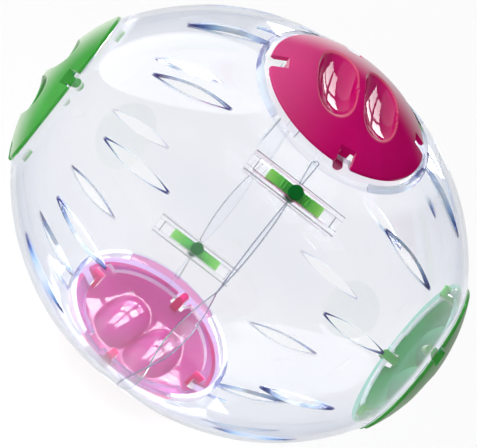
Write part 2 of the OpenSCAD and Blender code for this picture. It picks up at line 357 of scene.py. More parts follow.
def half_wall(side):
    """The wall of one half shell with its seam laps and end flange, as one closed skin."""
    outer_x = [BAND_X + ARC_RUN * i / PROFILE_STEPS for i in range(PROFILE_STEPS + 1)]
    inner_end = SEAT_X - FLANGE_T
    inner_x = [BAND_X + (inner_end - BAND_X) * i / PROFILE_STEPS for i in range(PROFILE_STEPS + 1)]
    lap_r = BALL_R - WALL / 2
    cabin_r = BALL_R - WALL
    rings = []
    for i in range(SEAM_STEPS):
        deg = 360 * (i + SEAM_PHASE) / SEAM_STEPS
        reach = side * seam_offset(deg)
        outer_u = reach + LAP_GAP / 2
        inner_u = -reach + LAP_GAP / 2
        step_r = lap_r if outer_u < inner_u else lap_r - LAP_GAP
        section = [(x, float(wall_r(x))) for x in reversed(outer_x)]
        section += [(outer_u + SEAM_BEVEL, BALL_R), (outer_u, BALL_R - SEAM_BEVEL), (outer_u, step_r)]
        section += [(inner_u, step_r - LAP_STEP), (inner_u, cabin_r + SEAM_BEVEL)]
        section += [(inner_u + SEAM_BEVEL, cabin_r)]
        section += [(x, float(wall_r(x, WALL))) for x in inner_x]
        section += [(inner_end, OPENING_R), (SEAT_X, OPENING_R)]
        a = math.radians(deg)
        rings.append([(side * x, -r * math.sin(a), r * math.cos(a)) for x, r in section])
    return piece("half_wall", *loft(rings))


def seat_holes():
    """Tools that clear the wall for both side seats."""
    tools = []
    for turn in (0, 1):
        tools.append(disc(RING_R - RING_ROOT, SEAT_HOLE_LOW, SEAT_HOLE_HIGH, side_seat(turn)))
        tools.append(disc(RING_R, HAIR, SEAT_HOLE_HIGH, side_seat(turn)))
    return tools


def seat_ring(side, turn):
    """Half of a side seat's flange and skirt."""
    section = [(OPENING_R, 0), (RING_R, 0), (RING_R, -SKIRT_H), (RING_R - WALL, -SKIRT_H),
               (RING_R - WALL, -FLANGE_T), (OPENING_R, -FLANGE_T)]
    rings = []
    for i in range(RING_STEPS + 1):
        a = math.radians(-90 + 180 * i / RING_STEPS)
        rings.append([(side * (r * math.cos(a) + LAP_GAP / 2), r * math.sin(a), z) for r, z in section])
    return piece("seat_ring", *loft(rings, capped=True), side_seat(turn))


def index_rib(side, turn, at):
    """A low rib beside a side seat, lying on the ball's surface along the long axis."""
    start = math.sqrt(RING_R ** 2 - at ** 2)
    near_y, far_y = side * at - RIB_HALF_W, side * at + RIB_HALF_W
    section = [(near_y, -RIB_ROOT), (near_y, RIB_H), (far_y, RIB_H), (far_y, -RIB_ROOT)]
    rings = []
    for i in range(RIB_STEPS + 1):
        x = start - OVER + (RIB_LEN + OVER) * i / RIB_STEPS
        r = float(wall_r(x))
        rings.append([(x, y, math.sqrt((r + lift) ** 2 - y ** 2)) for y, lift in section])
    matrix = turned("X", 180 * turn) @ (turned("Z", 180) if side < 0 else Matrix.Identity(4))
    return piece("index_rib", *loft(rings, capped=True), matrix)


def shell_additions(side):
    """Seat rings, latch pads and index ribs of one half."""
    low_x, high_x = sorted((side * LAP_GAP / 2, side * PAD_HALF_L))
    pad_low, pad_high = (low_x, -PAD_HALF_W, FLOOR_LOW), (high_x, PAD_HALF_W, RAIL_TOP)
    added = [seat_ring(side, turn) for turn in (0, 1)]
    added += [block(pad_low, pad_high, latch_place(turn)) for turn in (0, 1)]
    added += [index_rib(side, turn, at) for turn in (0, 1) for at in RIB_AT]
    return added


def entry_gaps(seat, lock):
    """Tools for a seat's lug entry gaps, two across the whole seat."""
    tools = []
    for quarter in (0, 90):
        tool = disc(GAP_R, -FLANGE_T - OVER, OVER)
        strip = block((-RING_R, -GAP_W / 2, -FAR_OVER), (RING_R, GAP_W / 2, FAR_OVER))
        carve(tool, [strip], "INTERSECT")
        tool.data.transform(seat @ turned("Z", lock + TWIST + quarter))
        tools.append(tool)
    return tools


def shell_cuts(side):
    """Tools for the entry gaps, latch grooves and slots, and vents of one half."""
    cuts = entry_gaps(side_seat(0), SIDE_LOCK) + entry_gaps(side_seat(1), SIDE_LOCK)
    cuts += entry_gaps(end_seat(0 if side < 0 else 1), END_LOCK)
    groove_low = (-GROOVE_HALF_L, -GROOVE_HALF_W, FLOOR_TOP)
    groove_high = (GROOVE_HALF_L, GROOVE_HALF_W, BALL_R + FAR_OVER)
    slot = arc_points(TRAVEL, 0, SLOT_R, -90, 90, SLOT_STEPS)
    slot += arc_points(-TRAVEL, 0, SLOT_R, 90, 270, SLOT_STEPS)
    for turn in (0, 1):
        cuts.append(block(groove_low, groove_high, latch_place(turn)))
        cuts.append(prism(slot, FLOOR_LOW - OVER, FLOOR_TOP + OVER, latch_place(turn)))
    oval = pointed_oval(VENT_LEN / 2, VENT_W / 2, VENT_STEPS)
    for i in range(VENT_COUNT):
        place = turned("X", 360 * i / VENT_COUNT) @ moved(side * VENT_AT, 0, 0)
        cuts.append(prism(oval, BALL_R / 2, BALL_R + FAR_OVER, place))
    return cuts


def half_shell(side):
    """One half shell with its seats, latch pads, ribs and vents."""
    wall = carve(half_wall(side), seat_holes(), "DIFFERENCE")
    carve(wall, shell_additions(side), "UNION")
    return carve(wall, shell_cuts(side), "DIFFERENCE")


# Material slots of a half shell
OUTER, INNER, EDGE, SEAT, LATCH, OUTER_LIP, INNER_LIP, LAP, SKIRT, UNDER = range(10)


def at_value(values, target, reach=0.0):
    """Whether each value is the target, or within reach of it."""
    return np.abs(values - target) < reach + NEAR


def wall_normals(co, radius):
    """Outward normals of the ball's surface."""
    x = np.clip(co[:, 0], -SEAT_X, SEAT_X)
    run = np.sign(x) * np.maximum(np.abs(x) - BAND_X, 0)
    rise = (radius - ARC_CENTRE) / radius
    normal = np.stack([run, co[:, 1] * rise, co[:, 2] * rise], 1)
    return normal / np.linalg.norm(normal, axis=1)[:, None]


def seam_groups(x, radius):
    """Which vertices lie on the outer lip, on the inner lip and between the laps."""
    seam = np.abs(x) < LAP_REACH + 3 * SEAM_BEVEL
    outer_lip = seam & at_value(radius, BALL_R - SEAM_BEVEL / 2, SEAM_BEVEL / 2)
    inner_lip = seam & at_value(radius, BALL_R - WALL + SEAM_BEVEL / 2, SEAM_BEVEL / 2)
    high, low = BALL_R - SEAM_BEVEL - NEAR, BALL_R - WALL + SEAM_BEVEL + NEAR
    return outer_lip, inner_lip, seam & (radius < high) & (radius > low)


def seat_groups(co, radius):
    """Which vertices lie on a seat's face, on a side seat's ring walls and under a seat's flange."""
    x, z = np.abs(co[:, 0]), np.abs(co[:, 2])
    off_axis = np.hypot(co[:, 0], co[:, 1])
    seats = at_value(z, SIDE_Z) | at_value(x, SEAT_X)
    ring_wall = at_value(off_axis, RING_R) | at_value(off_axis, RING_R - WALL)
    skirt = ring_wall & at_value(z, SIDE_Z - SKIRT_H / 2, SKIRT_H / 2)
    side_under = at_value(z, SIDE_Z - FLANGE_T) & (off_axis < RING_R)
    end_under = at_value(x, SEAT_X - FLANGE_T) & (radius < CAP_R)
    return seats, skirt, side_under | end_under


def latch_group(co, radius):
    """Which vertices lie on a latch pad."""
    turn = math.radians(LATCH_DEG)
    across = np.abs(co[:, 1] * math.cos(turn) + co[:, 2] * math.sin(turn))
    on_pad = (np.abs(co[:, 0]) < PAD_HALF_L + NEAR) & (across < PAD_HALF_W + NEAR)
    return on_pad & (radius > FLOOR_LOW - NEAR)


def shell_slots(mesh):
    """Gives each face its material slot and each corner its true normal."""
    co = points_of(mesh)
    radius = np.hypot(co[:, 1], co[:, 2])
    x = np.clip(co[:, 0], -SEAT_X, SEAT_X)
    normal = wall_normals(co, radius)
    on_outer, on_inner = at_value(radius, wall_r(x)), at_value(radius, wall_r(x, WALL))
    outer_lip, inner_lip, in_lap = seam_groups(co[:, 0], radius)
    seats, skirt, under = seat_groups(co, radius)
    flat_groups = ((seats, SEAT), (skirt, SKIRT), (under, UNDER), (latch_group(co, radius), LATCH),
                   (outer_lip, OUTER_LIP), (inner_lip, INNER_LIP))
    loops = [tuple(n.vector) for n in mesh.corner_normals]
    for poly in mesh.polygons:
        ids = list(poly.vertices)
        flat = tuple(poly.normal)
        facing = float(np.dot(normal[ids[0]], flat))
        slot, found = EDGE, None
        if on_outer[ids].all() and facing > SQUARE:
            slot, found = OUTER, normal
        elif on_inner[ids].all() and facing < -SQUARE:
            slot, found = INNER, -normal
        elif in_lap[ids].all() and abs(facing) > SQUARE:
            slot, found = LAP, math.copysign(1, facing) * normal
        else:
            for group, group_slot in flat_groups:
                if group[ids].all():
                    slot = group_slot
                    break
        poly.material_index = slot
        for loop, vertex in zip(poly.loop_indices, ids):
            loops[loop] = tuple(found[vertex]) if found is not None else flat
    mesh.normals_split_custom_set(loops)


# Caps

# How steeply the surface rises that stands in for the scooping tool beside it
BESIDE_SLOPE = 4


def soft_min(a, b, k):
    """The lower of two heights, rounded where they cross."""
    h = np.clip(0.5 + 0.5 * (b - a) / k, 0, 1)
    return b + (a - b) * h - k * h * (1 - h)


def scoop_height(u, v, extra=0.0):
    """Underside of the ring-shaped tool that scoops a recess, or a high value beside it."""
    r = SCOOP_R + extra
    across = np.abs(np.abs(u) - SCOOP_X)
    tube = np.sqrt(np.maximum(r ** 2 - across ** 2, 0))
    low = SCOOP_Z - np.sqrt(np.maximum((SCOOP_PATH + tube) ** 2 - v ** 2, 0))
    return np.where(across < r, low, SCOOP_Z - SCOOP_PATH + (across - r) * BESIDE_SLOPE)


def cap_height(u, v):
    """Outer surface of a cap."""
    return soft_min(dome_height(np.hypot(u, v)), scoop_height(u, v), LIP_R)


def cap_underside(u, v):
    """Inner surface of a cap, one wall below the outer one."""
    return soft_min(dome_height(np.hypot(u, v), CAP_WALL), scoop_height(u, v, CAP_WALL), LIP_R)


def height_solid(surface, r, low, edge):
    """A round solid whose top follows a surface, with a rim rounded by edge and a flat bottom at low."""
    angles = np.arange(CAP_STEPS) * 2 * np.pi / CAP_STEPS
    u, v = np.cos(angles), np.sin(angles)
    rings = []
    for rho in np.linspace(CAP_EYE, r - edge, CAP_RINGS):
        rings.append(list(zip(rho * u, rho * v, surface(rho * u, rho * v))))
    if edge > 0:
        for i in range(1, ROUND_STEPS + 1):
            a = i / ROUND_STEPS * math.pi / 2
            rho = r - edge + edge * math.sin(a)
            z = surface(rho * u, rho * v) - edge * (1 - math.cos(a))
            rings.append(list(zip(rho * u, rho * v, z)))
    rings.append(list(zip(r * u, r * v, np.full(CAP_STEPS, low))))
    return piece("height_solid", *loft(rings, capped=True))


def notch_outline():
    """Rim notch, with its mouth corners rounded."""
    r, w, rim = NOTCH_MOUTH_R, NOTCH_HALF_W, CAP_R + HAIR
    left = arc_points(rim - r, w + r, r, 270, 360, NOTCH_STEPS)
    right = arc_points(rim - r, -w - r, r, 0, 90, NOTCH_STEPS)
    mouth = [(CAP_R + NOTCH_OVER, -w - r), (CAP_R + NOTCH_OVER, w + r)]
    return [(STEM_R, -w)] + right[::-1] + mouth + left[::-1] + [(STEM_R, w)]


def lug_block(r, low, high, round_foot):
    """A lug or its stem as a block out to a radius, with the lug's foot rounded below."""
    if round_foot:
        outline = arc_points(0, low + LUG_HALF_W, LUG_HALF_W, 180, 360, LUG_STEPS)
    else:
        outline = [(-LUG_HALF_W, low + LUG_HALF_W), (LUG_HALF_W, low + LUG_HALF_W)]
    outline += [(LUG_HALF_W, high), (-LUG_HALF_W, high)]
    rings = []
    for radius in (STEM_R - STEM_T, r):
        rings.append([(math.sqrt(radius ** 2 - y ** 2), y, z) for y, z in outline])
    return piece("lug", *loft(rings, capped=True))


def cap_shape(name, matrix, materials):
    """A twist-in cap with its recesses, notches and four lugs on their stems."""
    cap = height_solid(cap_height, CAP_R, SEAT_GAP, CAP_ROUND)
    carve(cap, [height_solid(cap_underside, CAP_R - CAP_WALL, -HOLLOW_OVER, 0)], "DIFFERENCE")
    notches = [prism(notch_outline(), -NOTCH_OVER, CAP_H, turned("Z", 90 * i)) for i in range(4)]
    carve(cap, notches, "DIFFERENCE")
    low = -FLANGE_T - SEAT_GAP - LUG_H
    stem_top = float(dome_height(STEM_R)) - CAP_WALL / 2
    for i in range(4):
        stem = lug_block(STEM_R - HAIR, low, stem_top, False)
        carve(stem, [lug_block(STEM_R + LUG_REACH, low, low + LUG_H, True)], "UNION")
        stem.data.transform(turned("Z", 90 * i))
        carve(cap, [stem], "UNION")
    dress(cap, materials)
    cap_slots(cap.data)
    cap.data.transform(matrix)
    cap.name = cap.data.name = name
    return cap


# Material slots of a cap
CAP_DOME, CAP_RECESS, CAP_INSIDE = range(3)

# Step at which a surface's slope is measured, and room at the end of a surface
SLOPE_STEP = 0.02
SLACK = 0.01


def surface_normals(surface, u, v):
    """Upward normals of a surface given by its height."""
    slope_u = (surface(u + SLOPE_STEP, v) - surface(u - SLOPE_STEP, v)) / (2 * SLOPE_STEP)
    slope_v = (surface(u, v + SLOPE_STEP) - surface(u, v - SLOPE_STEP)) / (2 * SLOPE_STEP)
    normal = np.stack([-slope_u, -slope_v, np.ones(len(u))], 1)
    return normal / np.linalg.norm(normal, axis=1)[:, None]


def cap_slots(mesh):
    """Gives each face its material slot and each corner its true normal, and marks the recesses' lips for a
    painted highlight.
    """
    u, v, z = points_of(mesh).T
    rho = np.hypot(u, v)
    scooped = scoop_height(u, v) < dome_height(rho) - LIP_R
    on_top = at_value(z, cap_height(u, v)) & (rho < CAP_R - CAP_ROUND + SLACK)
    on_underside = at_value(z, cap_underside(u, v)) & (rho < CAP_R - CAP_WALL + SLACK)
    outward = np.stack([u / rho, v / rho, np.zeros(len(u))], 1)
    tests = ((on_top, surface_normals(cap_height, u, v), CAP_DOME),
             (on_underside, -surface_normals(cap_underside, u, v), CAP_INSIDE),
             (at_value(rho, CAP_R), outward, CAP_DOME),
             (at_value(rho, CAP_R - CAP_WALL), -outward, CAP_INSIDE))
    # The lip attribute marks the band along each recess's lip where a painted highlight goes
    lip = np.exp(-((scoop_height(u, v) - dome_height(rho)) / LIP_HIGHLIGHT_W) ** 2) * on_top
    mesh.attributes.new("lip", "FLOAT", "POINT").data.foreach_set("value", lip)
    loops = [None] * len(mesh.loops)
    for poly in mesh.polygons:
        ids = list(poly.vertices)
        flat = np.array(poly.normal)
        slot, found = CAP_DOME, None
        for on, normals, test_slot in tests:
            if on[ids].all() and float(normals[ids[0]] @ flat) > CAP_SQUARE:
                slot, found = test_slot, normals
                if on is on_top and scooped[ids].all():
                    slot = CAP_RECESS
                break
        poly.material_index = slot
        for loop, vertex in zip(poly.loop_indices, ids):
            loops[loop] = tuple(found[vertex]) if found is not None else tuple(flat)
    mesh.normals_split_custom_set(loops)


# Materials

# Refractive index of the clear plastic and of the tinted one
IOR = 1.49
TINTED_IOR = 1.5

# Colours of the clear shell: face-on, edge-on, straight through, in a shadow and at a seat
TINT_LOW = (0.936, 0.943, 0.969)
TINT_HIGH = (0.945, 0.952, 0.974)
TINT_EDGE_ON = (0.16, 0.24, 0.42)
STRAIGHT_TINT = (0.985, 0.99, 1.0)
SHADOW_TINT = (0.93, 0.94, 0.96)
SEAT_CLEAR = (0.955, 0.96, 0.98)
WHITE = (1.0, 1.0, 1.0)

# Where a flange grows brighter along the long axis, and where its painted cast, a reflection of the caps'
# colours, turns from violet to teal
SEAT_BRIGHT = (20.0, 31.0)
PAINTED_CAST_TURN = (60.0, 70.0)
PAINTED_CAST_PINK = (0.84, 0.34, 0.64)
PAINTED_CAST_VIOLET = (0.72, 0.50, 0.84)
PAINTED_CAST_TEAL = (0.42, 0.78, 0.66)

# Where the wall is near a seat: along the long axis, off a side seat's axis, and in height
CORNER_X = (77.5, 80.0)
CORNER_OFF = (47.0, 41.0)
CORNER_Z = (50.0, 56.0)
CORNER_SHARE = 0.95

# Widths of the drawn refraction lines: round a vent slot, where they end past its tip, whose place is
# one, and on a latch pad, where they show between two heights and above
VENT_LINE = 0.14
VENT_LINE_TIP = 0.7
VENT_LINE_SOFT = 0.2
VENT_LINE_END = (1.1, 1.0)
PAST_TIP = 1.2
RAIL_LINE = 0.35
RAIL_FACE = (RAIL_TOP - 0.3, RAIL_TOP - 0.2)

# Where a pink cap is painted paler along the long axis, as light on the soft lamp's side, and where the
# painted highlight on the back of a green cap's recess begins; then the share of the painted highlight along
# a recess's lip
PAINTED_LIGHT_X = (4.0, -34.0)
PAINTED_LIGHT_SHARE = 0.4
BULGE_X = (SEAT_X + 6.0, SEAT_X + 4.0)
BULGE_OFF = (26.0, 22.0)
BULGE_HIGHLIGHT_SHARE = 0.4
LIP_HIGHLIGHT_SHARE = 0.85

# How far a cap's face is turned away where its painted pale sheen begins and where it is full, and the
# sheen's colour
SHEEN_PAINT_FACING = (0.56, 0.93)
SHEEN_PAINT = (0.95, 0.90, 0.90)


class Nodes:
    """The node tree of a material or a world, built by short calls."""

    def __init__(self, name, world=False):
        self.owner = (bpy.data.worlds if world else bpy.data.materials).new(name)
        self.owner.use_nodes = True
        self.tree = self.owner.node_tree
        self.tree.nodes.clear()
        self.output = self.add("ShaderNodeOutputWorld" if world else "ShaderNodeOutputMaterial")

    def add(self, kind, settings=None, **inputs):
        """A node with its settings and inputs; an input's name has _ for a space."""
        node = self.tree.nodes.new(kind)
        for key, value in (settings or {}).items():
            setattr(node, key, value)
        for key, value in inputs.items():
            self.plug(value, node, key.replace("_", " "))
        return node

    def plug(self, value, node, name):
        """Links a socket, or sets a constant, which may be a colour without its fourth value."""
        socket = node.inputs[int(name)] if name.isdigit() else node.inputs[name]
        if isinstance(value, bpy.types.NodeSocket):
            self.tree.links.new(value, socket)
        elif isinstance(value, tuple) and len(value) == 3:
            socket.default_value = (*value, 1)
        else:
            socket.default_value = value

    def math(self, operation, a, b=0.0):
        node = self.add("ShaderNodeMath", {"operation": operation})
        self.plug(a, node, "0")
        self.plug(b, node, "1")
        return node.outputs[0]

    def times(self, a, b):
        return self.math("MULTIPLY", a, b)

    def length(self, a, b):
        """Distance from the origin to the point (a, b)."""
        return self.math("SQRT", self.math("ADD", self.times(a, a), self.times(b, b)))

    def noise(self, scale, detail):
        node = self.add("ShaderNodeTexNoise", Scale=scale, Detail=detail)
        self.tree.links.new(self.add("ShaderNodeTexCoord").outputs["Object"], node.inputs["Vector"])
        return node.outputs["Fac"]

    def ramp(self, factor, stops):
        node = self.add("ShaderNodeValToRGB")
        elements = node.color_ramp.elements
        while len(elements) < len(stops):
            elements.new(0.5)
        for element, (position, colour) in zip(elements, stops):
            element.position = position
            element.color = (*colour, 1)
        self.tree.links.new(factor, node.inputs["Fac"])
        return node.outputs["Color"]

    def spread(self, factor, low, high):
        """From low at zero to high at one."""
        node = self.add("ShaderNodeMapRange")
        self.tree.links.new(factor, node.inputs["Value"])
        node.inputs["To Min"].default_value = low
        node.inputs["To Max"].default_value = high
        return node.outputs["Result"]

    def span(self, factor, start, stop):
        """Zero at start, one at stop, smooth between."""
        node = self.add("ShaderNodeMapRange", {"interpolation_type": "SMOOTHSTEP"})
        self.tree.links.new(factor, node.inputs["Value"])
        node.inputs["From Min"].default_value = start
        node.inputs["From Max"].default_value = stop
        return node.outputs["Result"]

    def place(self):
        """The shaded point's own x, y and z in millimetres."""
        scaled = self.add("ShaderNodeVectorMath", {"operation": "SCALE"})
        self.tree.links.new(self.add("ShaderNodeTexCoord").outputs["Object"], scaled.inputs[0])
        scaled.inputs["Scale"].default_value = 1 / MM
        parts = self.add("ShaderNodeSeparateXYZ")
        self.tree.links.new(scaled.outputs[0], parts.inputs[0])
        return parts.outputs[0], parts.outputs[1], parts.outputs[2]

    def from_within(self):
        """One where a face is seen from inside its solid, else zero."""
        return self.add("ShaderNodeNewGeometry").outputs["Backfacing"]

    def facing(self):
        """Zero where a face is seen square on, one where it is seen edge-on."""
        return self.add("ShaderNodeLayerWeight", Blend=0.5).outputs["Facing"]

    def bump(self, height, strength, distance):
        node = self.add("ShaderNodeBump", Strength=strength, Distance=distance)
        self.tree.links.new(height, node.inputs["Height"])
        return node.outputs["Normal"]

    def blend(self, factor, a, b, way="MIX"):
        """A colour between two."""
        node = self.add("ShaderNodeMix", {"data_type": "RGBA", "blend_type": way})
        self.plug(factor, node, "0")
        self.plug(a, node, "6")
        self.plug(b, node, "7")
        return node.outputs[2]

    def see_through(self, colour):
        return self.add("ShaderNodeBsdfTransparent", Color=colour).outputs[0]

    def painted_refraction(self, colour, roughness, clearness):
        """The half-clear dark plastic of a painted refraction line, or of an edge painted with refraction
        colours.
        """
        return self.add("ShaderNodeBsdfPrincipled", Base_Color=colour, Roughness=roughness, IOR=IOR,
                        Transmission_Weight=clearness).outputs[0]

    def mix(self, factor, a, b):
        """A shader between two."""
        node = self.add("ShaderNodeMixShader")
        self.plug(factor, node, "0")
        self.tree.links.new(a, node.inputs[1])
        self.tree.links.new(b, node.inputs[2])
        return node.outputs[0]

    def finish(self, surface):
        self.tree.links.new(surface, self.output.inputs["Surface"])
        return self.owner


def clear_plastic(n, colour, roughness, normal=None, straight=None):
    """Clear moulded plastic, which lets lamplight through; a share of the view goes straight on."""
    shader = n.add("ShaderNodeBsdfPrincipled", Base_Color=colour, IOR=IOR, Transmission_Weight=1.0,
                   Roughness=roughness)
    if normal is not None:
        n.plug(normal, shader, "Normal")
    clear = shader.outputs[0]
    if straight is not None:
        clear = n.mix(straight, clear, n.see_through(STRAIGHT_TINT))
    path = n.add("ShaderNodeLightPath")
    return n.mix(path.outputs["Is Shadow Ray"], clear, n.see_through(SHADOW_TINT))


def shell_tint(n):
    """Faint lavender of the clear shell, deeper where the wall is seen edge-on."""
    flow = n.noise(38.0, 2.0)
    plain = n.ramp(flow, [(0.3, TINT_LOW), (0.7, TINT_HIGH)])
    colour = n.blend(n.math("POWER", n.facing(), 3.0), plain, TINT_EDGE_ON, "MULTIPLY")
    return colour, n.bump(flow, 0.03, 0.001)


def seat_corner(n, sides):
    """Share of the view that leaves the wall straight on near a seat, where glass would trap it."""
    x, y, z = n.place()
    near = n.span(n.math("ABSOLUTE", x), *CORNER_X)
    if sides:
        beside = n.times(n.span(n.length(x, y), *CORNER_OFF), n.span(n.math("ABSOLUTE", z), *CORNER_Z))
        near = n.math("MAXIMUM", near, beside)
    return n.times(n.times(near, n.from_within()), CORNER_SHARE)


def clear_shell(name):
    """The polished inner face of a half shell."""
    n = Nodes(name)
    colour, normal = shell_tint(n)
    return n.finish(clear_plastic(n, colour, 0.0, normal, straight=seat_corner(n, True)))


def vent_place(n):
    """A point's share of the way to the nearest vent slot's tip, and its distance from that slot's edge."""
    x, y, z = n.place()
    turns = n.math("ADD", n.times(n.math("ARCTAN2", y, z), VENT_COUNT / math.tau), 0.5)
    off = n.math("SUBTRACT", n.math("FRACT", turns), 0.5)
    sine = n.math("SINE", n.times(off, math.tau / VENT_COUNT))
    across = n.math("ABSOLUTE", n.times(n.length(y, z), sine))
    along = n.math("SUBTRACT", n.math("ABSOLUTE", x), VENT_AT)
    from_centre = n.length(along, n.math("ADD", across, VENT_ARC_R - VENT_W / 2))
    off_slot = n.math("SUBTRACT", from_centre, VENT_ARC_R)
    share = n.math("MINIMUM", n.math("DIVIDE", n.math("ABSOLUTE", along), VENT_LEN / 2), PAST_TIP)
    return share, off_slot


def vented_shell(name):
    """The outer face of a half shell, with a painted dark line round each vent slot that stands in for the
    refraction at the slot's lip; the line is fainter where it is seen from within.
    """
    n = Nodes(name)
    colour, normal = shell_tint(n)
    clear = clear_plastic(n, colour, 0.0, normal, straight=seat_corner(n, False))
    share, off_slot = vent_place(n)
    width = n.math("ADD", n.times(n.math("POWER", share, 3.0), VENT_LINE_TIP), VENT_LINE)
    line = n.span(n.math("SUBTRACT", width, off_slot), 0.0, VENT_LINE_SOFT)
    line = n.times(line, n.span(share, *VENT_LINE_END))
    near = n.math("SUBTRACT", 1.0, n.times(n.from_within(), 0.8))
    # Colours of the painted refraction line, from the slot's middle to its tips
    refraction_colour = n.ramp(share, [(0.0, (0.10, 0.36, 0.46)), (0.5, (0.05, 0.20, 0.42)), (0.85, (0.008, 0.012, 0.14))])
    return n.finish(n.mix(n.times(line, near), clear, n.painted_refraction(refraction_colour, 0.1, 0.4)))


def lip_line(name, seen_from_outside):
    """The thin grey-navy line of a seam lip, painted to stand in for the dark refraction at its edge; it
    stays pale where the lip is seen through the ball.
    """
    n = Nodes(name)
    colour, normal = shell_tint(n)
    clear = clear_plastic(n, colour, 0.02, normal)
    back = n.from_within()
    near = n.math("SUBTRACT", 1.0, back) if seen_from_outside else back
    grey = n.ramp(n.noise(60.0, 1.0), [(0.35, (0.05, 0.06, 0.16)), (0.65, (0.13, 0.15, 0.30))])
    amount = n.math("ADD", n.times(near, 0.72), 0.1)
    return n.finish(n.mix(amount, clear, n.painted_refraction(grey, 0.15, 0.4)))


def rail_lines(name):
    """The latch pad: clear, with thin painted dark lines along its rails and ends that stand in for the
    refraction at those edges.
    """
    n = Nodes(name)
    colour, normal = shell_tint(n)
    clear = clear_plastic(n, colour, 0.02, normal, straight=0.5)
    x, y, z = n.place()
    cos, sin = math.cos(math.radians(LATCH_DEG)), math.sin(math.radians(LATCH_DEG))
    across = n.math("ABSOLUTE", n.math("ADD", n.times(y, cos), n.times(z, sin)))
    height = n.math("ABSOLUTE", n.math("SUBTRACT", n.times(z, cos), n.times(y, sin)))
    inner = n.math("ABSOLUTE", n.math("SUBTRACT", across, GROOVE_HALF_W))
    outer = n.math("ABSOLUTE", n.math("SUBTRACT", across, PAD_HALF_W))
    end = n.math("ABSOLUTE", n.math("SUBTRACT", n.math("ABSOLUTE", x), GROOVE_HALF_L))
    end = n.math("MAXIMUM", end, n.math("SUBTRACT", across, GROOVE_HALF_W))
    line = n.times(n.span(inner, RAIL_LINE * 0.4, RAIL_LINE * 0.2), 0.6)
    line = n.math("MAXIMUM", line, n.span(outer, RAIL_LINE, RAIL_LINE * 0.6))
    line = n.math("MAXIMUM", line, n.span(end, RAIL_LINE, RAIL_LINE * 0.6))
    on_top = n.span(height, *RAIL_FACE)
    grey = n.ramp(n.noise(60.0, 1.0), [(0.35, (0.04, 0.05, 0.10)), (0.65, (0.12, 0.14, 0.20))])
    return n.finish(n.mix(n.times(n.times(line, on_top), 0.85), clear, n.painted_refraction(grey, 0.15, 0.3)))


def wander(n, share, scale, amount):
    """A share that wanders a little with noise."""
    return n.math("ADD", share, n.times(n.math("SUBTRACT", n.noise(scale, 2.0), 0.5), amount))


def slot_edge(name):
    """Cut edges of the shell, painted with refraction colours: pale, sky blue along a vent slot and navy
    towards its tips.
    """
    n = Nodes(name)
    share = wander(n, n.math("DIVIDE", vent_place(n)[0], PAST_TIP), 90.0, 0.2)
    pale = (0.80, 0.87, 0.96)
    colour = n.ramp(share, [(0.05, pale), (0.35, (0.50, 0.72, 0.95)), (0.62, (0.10, 0.22, 0.60)),
                            (0.78, (0.02, 0.03, 0.25)), (0.85, (0.04, 0.06, 0.30)), (0.9, pale)])
    wall = n.painted_refraction(colour, 0.15, 0.25)
    clear = clear_plastic(n, colour, 0.05, straight=0.65)
    return n.finish(n.mix(0.6, clear, wall))


def thin_joint(name):
    """Faces of the laps, which nearly touch their neighbour and so hardly show."""
    n = Nodes(name)
    colour = n.ramp(n.noise(80.0, 2.0), [(0.3, (0.97, 0.975, 0.99)), (0.7, (0.99, 0.99, 1.0))])
    return n.finish(clear_plastic(n, colour, 0.02, straight=0.9))


def mottled(n, share):
    """A share broken up by noise, for a painted cast with a ragged edge."""
    return n.math("ADD", share, n.spread(n.noise(140.0, 3.0), -0.3, 0.3))


def seat_face(name, cast):
    """A seat's flange: clear, brighter beside the halves' outer ends, with a painted cast seen from inside,
    a reflection of a cap's colour.
    """
    n = Nodes(name)
    far = n.math("ABSOLUTE", n.place()[0])
    colour = plain = n.ramp(n.span(far, *SEAT_BRIGHT), [(0.0, SEAT_CLEAR), (1.0, WHITE)])
    if cast:
        painted_cast_colour = n.ramp(mottled(n, n.span(far, *PAINTED_CAST_TURN)),
                       [(0.0, PAINTED_CAST_VIOLET), (0.25, PAINTED_CAST_PINK), (0.75, PAINTED_CAST_TEAL), (1.0, PAINTED_CAST_TEAL)])
        colour = n.blend(n.from_within(), painted_cast_colour, plain)
    return n.finish(n.mix(0.97, clear_plastic(n, plain, 0.3), n.see_through(colour)))


def ring_wall_plastic(name):
    """The walls of a side seat's ring; the inner one has a painted violet cast, a reflection of the cap's
    colour.
    """
    n = Nodes(name)
    x, y = n.place()[:2]
    painted_cast_colour = n.ramp(mottled(n, n.span(n.length(x, y), RING_R - WALL, RING_R)),
                   [(0.0, PAINTED_CAST_PINK), (0.3, PAINTED_CAST_VIOLET), (0.6, SEAT_CLEAR), (1.0, SEAT_CLEAR)])
    colour = n.blend(n.from_within(), painted_cast_colour, SEAT_CLEAR)
    return n.finish(n.mix(0.96, clear_plastic(n, (0.96, 0.965, 0.985), 0.03), n.see_through(colour)))


def bar_plastic(name):
    """Translucent green of a latch bar, dark under the knob and yellow-green at its ends."""
    n = Nodes(name)
    share = wander(n, n.math("DIVIDE", n.math("ABSOLUTE", n.place()[0]), BAR_HALF_L), 160.0, 0.25)
    colour = n.ramp(share, [(0.15, (0.04, 0.33, 0.08)), (0.5, (0.12, 0.52, 0.11)),
                            (0.85, (0.27, 0.68, 0.15)), (1.0, (0.45, 0.80, 0.28))])
    shader = n.add("ShaderNodeBsdfPrincipled", Base_Color=colour, IOR=TINTED_IOR, Roughness=0.12,
                   Specular_IOR_Level=0.3)
    through = n.add("ShaderNodeBsdfTranslucent", Color=(0.4, 0.85, 0.15))
    return n.finish(n.mix(0.3, shader.outputs[0], through.outputs[0]))


